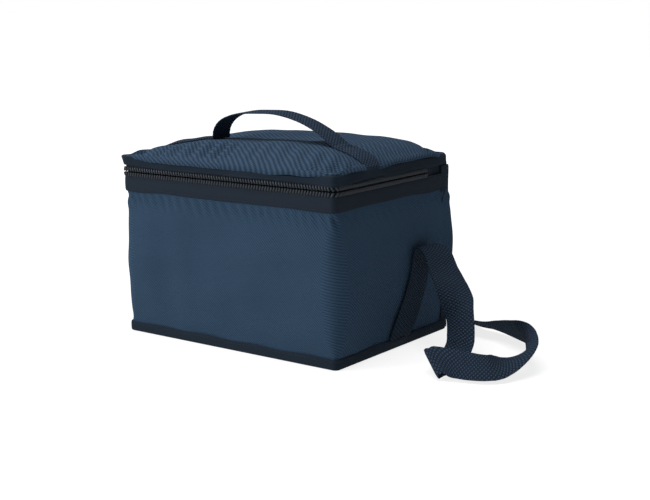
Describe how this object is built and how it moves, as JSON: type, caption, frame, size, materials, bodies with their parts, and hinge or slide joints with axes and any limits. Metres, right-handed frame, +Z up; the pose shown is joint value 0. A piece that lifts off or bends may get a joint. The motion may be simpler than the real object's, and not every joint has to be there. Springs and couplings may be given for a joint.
{
  "type": "insulated cooler bag",
  "caption": "Soft boxy insulated cooler bag with a zipped, padded lid hinged at the back, a webbing carrying handle and a webbing shoulder strap.",
  "frame": {"origin": "bottom centre of the bag, on the surface that it stands on", "axes": "+X to the right along the front, +Y towards the back, +Z up; the front panel faces -Y"},
  "size_m": [0.3863, 0.1906, 0.178],
  "materials": {
    "shell_fabric": "plain-woven polyester with a fine diagonal grain",
    "lid_fabric": "the same polyester, with a bolder diagonal rib",
    "foam": "closed-cell polyethylene foam",
    "lining": "foil-faced film, slightly crinkled",
    "binding": "folded woven binding tape, near-black navy",
    "zip_tape": "knitted zip tape",
    "zip_coil": "nylon coil",
    "webbing": "basket-woven polypropylene webbing",
    "zip_metal": "dark painted zinc"
  },
  "bodies": {
    "bag": {"outer_wrap": "shell_fabric", "back_panel": "shell_fabric", "base_panel": "shell_fabric", "wrap_foam": "foam", "back_foam": "foam", "base_foam": "foam", "wrap_lining": "lining", "back_lining": "lining", "base_lining": "lining", "base_binding": "binding", "back_binding_left": "binding", "back_binding_right": "binding", "body_zip_band": "binding", "zip_tape_lower": "zip_tape", "zip_coil_lower": "zip_coil", "zip_end_tab_left": "binding", "zip_end_tab_right": "binding", "shoulder_strap": "webbing"},
    "lid": {"lid_panel": "lid_fabric", "lid_foam": "foam", "lid_lining": "lining", "lid_binding": "binding", "zip_tape_upper": "zip_tape", "zip_coil_upper": "zip_coil", "handle_tail_left": "webbing", "handle_tail_right": "webbing"},
    "handle": {"handle_loop": "webbing"},
    "zip_slider": {"slider_body": "zip_metal", "slider_crown": "zip_metal"},
    "puller": {"zip_puller": "zip_metal"}
  },
  "joints": [
    {"name": "lid_hinge", "type": "hinge", "parent": "bag", "child": "lid", "pos_m": [0, 0.077, 0.1335], "axis": [-1, 0, 0], "range_deg": [0, 105]},
    {"name": "handle_fold", "type": "hinge", "parent": "lid", "child": "handle", "pos_m": [0, -0.026, 0.164], "axis": [1, 0, 0], "range_deg": [-48, 48]},
    {"name": "zip_slide", "type": "slide", "parent": "bag", "child": "zip_slider", "axis": [0, -1, 0], "range_m": [0, 0.09]},
    {"name": "puller_swing", "type": "hinge", "parent": "zip_slider", "child": "puller", "pos_m": [-0.1091, 0.038, 0.13], "axis": [0, 1, 0], "range_deg": [0, 160]}
  ]
}
